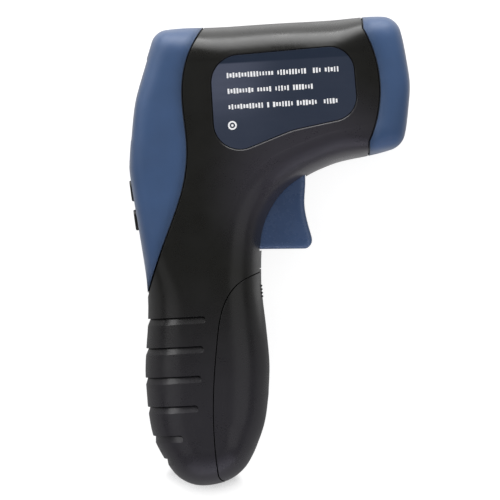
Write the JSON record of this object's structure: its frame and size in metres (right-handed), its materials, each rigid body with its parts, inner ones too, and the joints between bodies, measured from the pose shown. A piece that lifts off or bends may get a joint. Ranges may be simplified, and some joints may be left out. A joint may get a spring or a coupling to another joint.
{
  "type": "digital tachometer",
  "caption": "Pistol-grip optical tachometer with blue rear cover, nose cap and trigger, a display on the rear face, two keys and a hinged battery door; it lies on its left side.",
  "frame": {"origin": "under the centre of the box round the tachometer as it lies, on the surface it lies on", "axes": "+X along the barrel towards the nose, +Y from the foot of the grip to the barrel, up in use, +Z from the left side it lies on to the right side that carries the plate"},
  "size_m": [0.0966, 0.1552, 0.0402],
  "materials": {
    "case_black": "fine matt texture",
    "cover_blue": "satin",
    "black_parts": "matt",
    "plate_navy": "printed, satin",
    "window_clear": "clear",
    "display_grey": "glass with a grey-green polariser",
    "white_plastic": "matt",
    "strip_rubber": "matt",
    "board_green": "solder mask",
    "chip_black": "matt",
    "steel": "bright",
    "laser_brass": "turned",
    "battery_sleeve": "satin sleeve"
  },
  "bodies": {
    "case": {"right_shell": "case_black", "left_shell": "case_black", "rear_cover": "cover_blue", "nose_cap": "cover_blue", "door_pin": "steel", "trigger_pin": "steel", "trigger_spring": "steel", "trigger_switch": "black_parts", "battery": "battery_sleeve", "battery_snap": "black_parts", "front_bezel": "black_parts", "receiving_lens": "window_clear", "sensor_housing": "black_parts", "laser_module": "laser_brass", "photodiode": "steel", "sensor_board": "board_green", "display_window": "window_clear", "lcd_glass": "display_grey", "lcd_frame": "black_parts", "lcd_reflector": "white_plastic", "contact_strips": "strip_rubber", "main_board": "board_green", "controller_chip": "chip_black", "crystal": "steel", "capacitor": "chip_black", "key_switches": "chip_black", "key_board": "board_green", "board_screws": "steel", "case_screws": "steel", "label_plate": "plate_navy"},
    "trigger_lever": {"trigger": "cover_blue"},
    "plunger": {"switch_plunger": "white_plastic"},
    "door": {"battery_door": "case_black"},
    "key_up": {"upper_key": "black_parts"},
    "key_down": {"lower_key": "black_parts"}
  },
  "joints": [
    {"name": "trigger_hinge", "type": "hinge", "parent": "case", "child": "trigger_lever", "pos_m": [0.0069, 0.0286, 0.02], "axis": [0, 0, -1], "range_deg": [0, 6], "stiffness_Nm_per_rad": 0.3, "springref_deg": -5.73, "deforming": ["trigger_spring"]},
    {"name": "plunger_slide", "type": "slide", "parent": "case", "child": "plunger", "axis": [-0.788, 0.6157, 0], "range_m": [0, 0.0021]},
    {"name": "battery_door_hinge", "type": "hinge", "parent": "case", "child": "door", "pos_m": [-0.021, -0.073, 0.02], "axis": [0, 0, -1], "range_deg": [0, 60]},
    {"name": "upper_key_press", "type": "slide", "parent": "case", "child": "key_up", "axis": [0.9971, 0.0767, 0], "range_m": [0, 0.0005], "stiffness_N_per_m": 800, "springref_m": -0.0005},
    {"name": "lower_key_press", "type": "slide", "parent": "case", "child": "key_down", "axis": [0.9971, 0.0767, 0], "range_m": [0, 0.0005], "stiffness_N_per_m": 800, "springref_m": -0.0005}
  ],
  "couplings": [
    {"joint": "plunger_slide", "follows": "trigger_hinge", "m_per_rad": 0.02}
  ]
}
